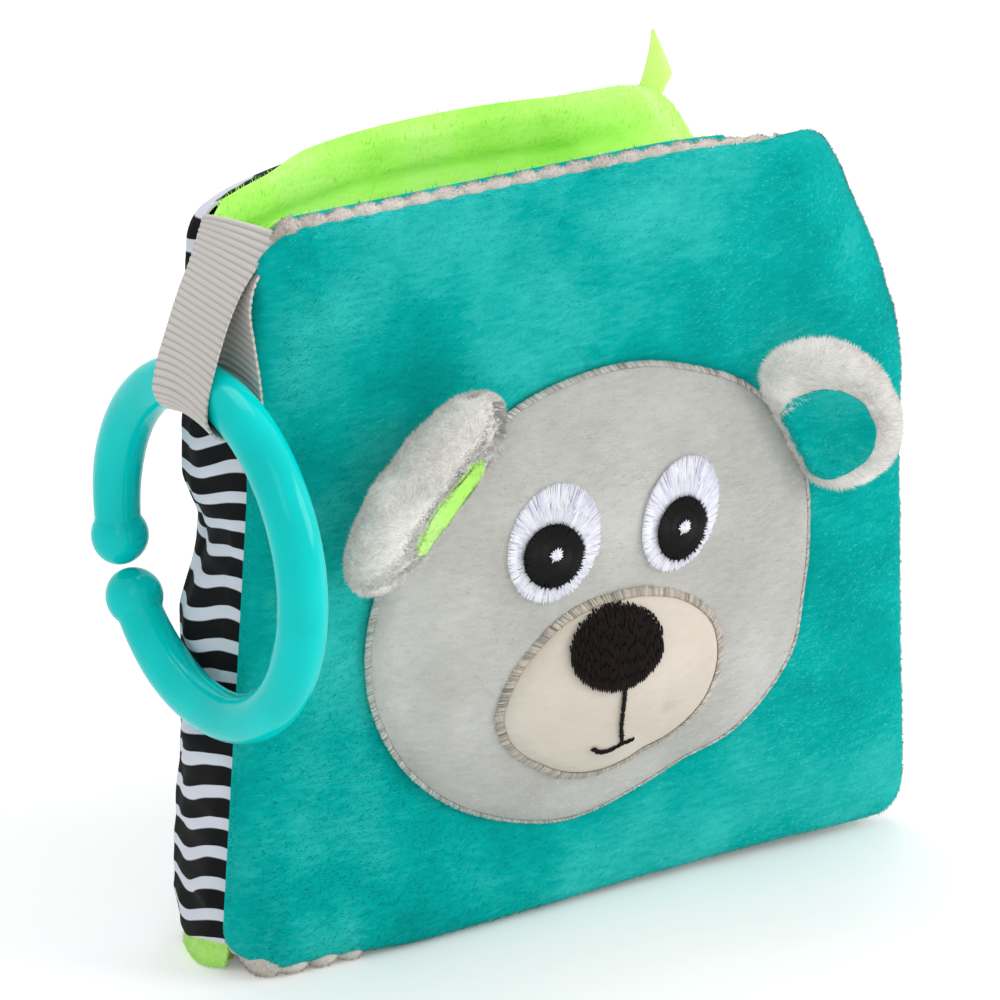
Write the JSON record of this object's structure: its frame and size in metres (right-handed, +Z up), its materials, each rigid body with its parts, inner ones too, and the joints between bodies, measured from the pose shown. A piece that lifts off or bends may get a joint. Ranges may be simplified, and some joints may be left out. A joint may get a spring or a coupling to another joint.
{
  "type": "crinkle_cloth_book",
  "caption": "Cloth crinkle book for a baby: padded leaves at a striped spine, stuffed bear face on the cover, teether ring on a ribbon loop",
  "frame": {"origin": "middle of the bounding box on the floor the book stands on", "axes": "+X runs from the spine across the cover, +Y from the front cover to the back cover, +Z up"},
  "size_m": [0.1642, 0.0989, 0.156],
  "materials": {
    "teal_plush": "short-pile polyester plush, teal",
    "lime_plush": "short-pile polyester plush, lime green",
    "ribbed_plush": "chunky ribbed plush, warm grey",
    "grey_plush": "short-pile plush, light grey",
    "pale_plush": "short-pile plush, pale grey",
    "cream_plush": "brushed knit, cream",
    "striped_jersey": "printed cotton jersey, black and white stripes",
    "grosgrain": "woven grosgrain ribbon, warm grey",
    "lime_satin": "woven satin ribbon, pale lime",
    "silver_thread": "satin-stitched rayon thread, silver grey",
    "dark_thread": "satin-stitched thread, brown black",
    "black_thread": "satin-stitched thread, black",
    "white_thread": "satin-stitched thread, white",
    "wadding": "polyester wadding, white",
    "crinkle_film": "thin crinkly polyester film",
    "ring_plastic": "moulded glossy plastic, teal"
  },
  "bodies": {
    "spine": {"spine_cloth": "striped_jersey", "spine_wadding": "wadding", "spine_lining": "lime_plush"},
    "front_cover": {"front_cover_cloth": "teal_plush", "front_cover_lining": "ribbed_plush", "front_cover_crinkle_film": "crinkle_film", "front_cover_wadding": "wadding", "head_cloth": "grey_plush", "head_wadding": "wadding", "head_edge_stitching": "silver_thread", "muzzle_cloth": "cream_plush", "muzzle_wadding": "wadding", "muzzle_edge_stitching": "silver_thread", "nose_embroidery": "dark_thread", "mouth_line_stitching": "dark_thread", "mouth_curve_stitching": "dark_thread", "left_eye_white": "white_thread", "left_eye_pupil": "black_thread", "left_eye_highlight": "white_thread", "right_eye_white": "white_thread", "right_eye_pupil": "black_thread", "right_eye_highlight": "white_thread"},
    "middle_page": {"middle_page_front_cloth": "teal_plush", "middle_page_back_cloth": "lime_plush", "middle_page_crinkle_film": "crinkle_film", "middle_page_wadding": "wadding"},
    "back_cover": {"back_cover_lining": "lime_plush", "back_cover_cloth": "striped_jersey", "back_cover_crinkle_film": "crinkle_film", "back_cover_wadding": "wadding"},
    "left_ear": {"left_ear_back_cloth": "pale_plush", "left_ear_front_cloth": "pale_plush", "left_ear_filling": "wadding", "left_ear_inner_patch": "lime_plush"},
    "right_ear": {"right_ear_back_cloth": "pale_plush", "right_ear_front_cloth": "pale_plush", "right_ear_filling": "wadding", "right_ear_inner_patch": "teal_plush"},
    "ribbon": {"hanging_ribbon": "grosgrain"},
    "ring": {"teether_ring": "ring_plastic"},
    "tag": {"page_tag": "lime_satin"}
  },
  "joints": [
    {"name": "front_cover_hinge", "type": "hinge", "parent": "spine", "child": "front_cover", "pos_m": [-0.07096, -0.00704, 0.0025], "axis": [0.0676, 0, 0.9977], "range_deg": [-28, 0]},
    {"name": "back_cover_hinge", "type": "hinge", "parent": "spine", "child": "back_cover", "pos_m": [-0.06946, 0.00896, 0.0025], "axis": [0.0292, 0, 0.9996], "range_deg": [0, 42]},
    {"name": "middle_page_hinge", "type": "hinge", "parent": "spine", "child": "middle_page", "pos_m": [-0.06226, -0.00024, 0.0025], "axis": [0.0557, 0, 0.9984], "range_deg": [0, 21]},
    {"name": "ribbon_swing", "type": "hinge", "parent": "spine", "child": "ribbon", "pos_m": [-0.06306, 0.00046, 0.1485], "axis": [-0.309, 0.9511, 0], "range_deg": [0, 110]},
    {"name": "ring_turn", "type": "hinge", "parent": "ribbon", "child": "ring", "pos_m": [-0.07406, -0.01134, 0.09142], "axis": [0.9977, 0.068, 0], "range_deg": [-205, 75]},
    {"name": "left_ear_fold", "type": "hinge", "parent": "front_cover", "child": "left_ear", "pos_m": [-0.02846, -0.01804, 0.0947], "axis": [0.6691, 0, 0.7431], "range_deg": [-18, 25], "stiffness_Nm_per_rad": 0.02},
    {"name": "right_ear_fold", "type": "hinge", "parent": "front_cover", "child": "right_ear", "pos_m": [0.05234, -0.01834, 0.0915], "axis": [-0.454, 0, 0.891], "range_deg": [-45, 5], "stiffness_Nm_per_rad": 0.02},
    {"name": "tag_bend", "type": "hinge", "parent": "back_cover", "child": "tag", "pos_m": [0.05445, 0.04466, 0.1435], "axis": [1, 0, 0], "range_deg": [-60, 20], "stiffness_Nm_per_rad": 0.002}
  ],
  "couplings": [
    {"joint": "middle_page_hinge", "follows": "back_cover_hinge", "ratio": 0.5}
  ]
}
